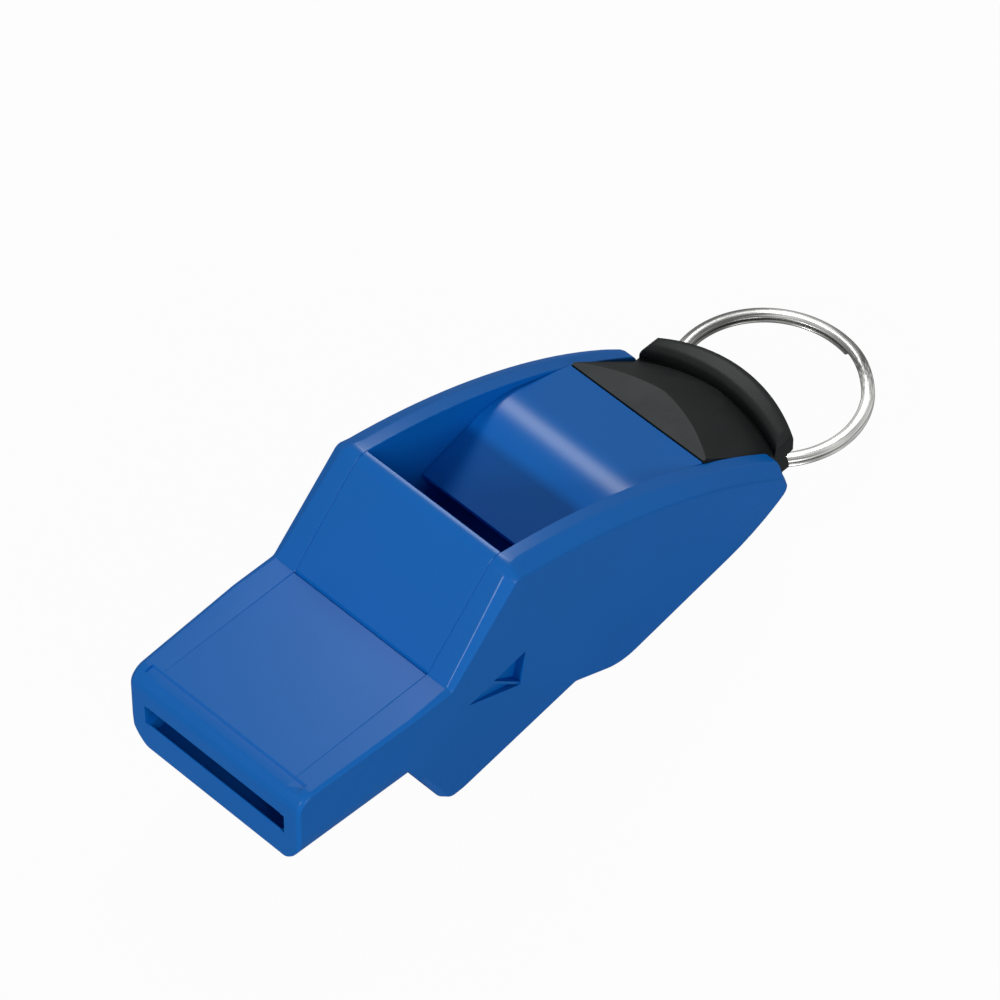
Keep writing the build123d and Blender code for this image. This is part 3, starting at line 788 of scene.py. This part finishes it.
covers = (("right_side_cover", -1, "right_cover"), ("left_side_cover", 1, "left_cover"))
for cover_name, cover_side, cover_node in covers:
    finish_piece(make_cover(cover_name, cover_side), "whistle", blue_plastic, [cover_node])
finish_piece(make_mouth_roof(), "whistle", blue_plastic, ["mouth_roof"])
finish_piece(make_mouth_floor(), "whistle", blue_plastic, ["mouth_floor"])
finish_piece(make_deck(), "whistle", blue_plastic, ["labium_deck"])
tail_cap = make_cap()
finish_piece(tail_cap, "whistle", black_elastomer, ["tail_cap"])
paint_crescent(tail_cap)
finish_piece(make_ring(), "ring", nickel_plate, ["split_ring"])
for hidden_node in ("flue_divider", "belly_shell"):
    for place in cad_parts[hidden_node].material_slots:
        place.material = blue_plastic


# Studio

def make_floor():
    """Wide white floor that keeps a soft shadow."""
    shape = bmesh.new()
    bmesh.ops.create_grid(shape, x_segments=1, y_segments=1, size=FLOOR_REACH)
    bmesh.ops.translate(shape, verts=shape.verts, vec=(0, 0, -FLOOR_GAP * MM))
    floor = new_piece("studio_floor", shape)
    paper = bpy.data.materials.new("white_paper")
    paper.use_nodes = True
    tree = paper.node_tree
    tree.nodes.remove(tree.nodes["Principled BSDF"])
    diffuse = linked(tree, "ShaderNodeBsdfDiffuse", [("Color", (FLOOR_GREY, FLOOR_GREY, FLOOR_GREY, 1))])
    glow = linked(tree, "ShaderNodeEmission", [("Color", (1, 1, 1, 1)), ("Strength", 1.0)])
    rays = linked(tree, "ShaderNodeLightPath")
    mirrored = linked(tree, "ShaderNodeMath", [
        (0, rays.outputs["Is Glossy Ray"]), (1, rays.outputs["Is Transmission Ray"])], operation="MAXIMUM")
    faint = linked(tree, "ShaderNodeMath", [
        (0, mirrored.outputs[0]), (1, FLOOR_MIRRORED)], operation="MULTIPLY")
    bright = linked(tree, "ShaderNodeMath", [
        (0, rays.outputs["Is Camera Ray"]), (1, FLOOR_SEEN)], operation="MULTIPLY")
    share = linked(tree, "ShaderNodeMath", [
        (0, faint.outputs[0]), (1, bright.outputs[0])], operation="MAXIMUM")
    mix = linked(tree, "ShaderNodeMixShader", [
        ("Fac", share.outputs[0]), (1, diffuse.outputs["BSDF"]), (2, glow.outputs["Emission"])])
    tree.links.new(mix.outputs["Shader"], tree.nodes["Material Output"].inputs["Surface"])
    floor.data.materials.append(paper)


def make_sky():
    """Even soft light all round, white where it is seen or mirrored."""
    world = bpy.data.worlds.new("white_studio")
    bpy.context.scene.world = world
    world.use_nodes = True
    tree = world.node_tree
    background = tree.nodes["Background"]
    rays = linked(tree, "ShaderNodeLightPath")
    seen = linked(tree, "ShaderNodeMath", [
        (0, rays.outputs["Is Camera Ray"]), (1, rays.outputs["Is Glossy Ray"])], operation="MAXIMUM")
    shown = linked(tree, "ShaderNodeMath", [
        (0, seen.outputs[0]), (1, rays.outputs["Is Transmission Ray"])], operation="MAXIMUM")
    strength = linked(tree, "ShaderNodeMapRange", [
        ("Value", shown.outputs[0]), ("To Min", SKY_LIGHT), ("To Max", SKY_SEEN)])
    tree.links.new(strength.outputs["Result"], background.inputs["Strength"])
    background.inputs["Color"].default_value = (1, 1, 1, 1)


def make_softbox(name, aim, direction, distance, size, power):
    """A rectangular softbox that faces a point from a direction."""
    lamp = bpy.data.lights.new(name, "AREA")
    lamp.shape = "RECTANGLE"
    lamp.size, lamp.size_y = size
    lamp.energy = power
    holder = bpy.data.objects.new(name, lamp)
    bpy.context.scene.collection.objects.link(holder)
    way = Vector(direction).normalized()
    holder.location = aim + way * distance
    holder.rotation_mode = "QUATERNION"
    holder.rotation_quaternion = way.to_track_quat("Z", "Y")


def make_camera():
    """Long lens over the whistle's front right, at the photograph's angle."""
    right = Vector((math.cos(CAMERA_AZIMUTH), math.sin(CAMERA_AZIMUTH), 0))
    back = Vector((
        math.sin(CAMERA_AZIMUTH) * math.cos(CAMERA_ELEVATION),
        -math.cos(CAMERA_AZIMUTH) * math.cos(CAMERA_ELEVATION),
        math.sin(CAMERA_ELEVATION),
    ))
    up = back.cross(right)
    aim = at(*CAMERA_AIM)
    lens = bpy.data.cameras.new("photo_camera")
    lens.sensor_width = SENSOR_WIDTH
    lens.lens = SENSOR_WIDTH * PIXELS_PER_MM * CAMERA_DISTANCE / PICTURE_WIDTH
    lens.clip_start = 0.01
    lens.clip_end = 50.0
    camera = bpy.data.objects.new("photo_camera", lens)
    bpy.context.scene.collection.objects.link(camera)
    camera.location = aim + back * CAMERA_DISTANCE * MM
    middle = aim + (right * CAMERA_ASIDE + up * CAMERA_ABOVE) * MM
    look = (middle - camera.location).to_track_quat("-Z", "Y")
    camera.rotation_mode = "QUATERNION"
    camera.rotation_quaternion = look @ Quaternion((0, 0, 1), CAMERA_ROLL)
    bpy.context.scene.camera = camera


make_floor()
make_sky()
make_softbox(
    "front_key", aim=at(30, 0, 14), direction=(-0.85, -0.05, 0.48),
    distance=0.9, size=(0.05, 0.05), power=2.8)
make_softbox(
    "right_fill", aim=at(30, 0, 10), direction=(-0.25, -0.88, 0.38),
    distance=0.9, size=(0.35, 0.35), power=2.8)
make_softbox(
    "rear_softbox", aim=at(39, 0, 16), direction=(0.555, 0.4515, 0.7),
    distance=0.3, size=(0.06, 0.1), power=0.31)
make_camera()
bpy.context.scene.view_settings.view_transform = "Standard"
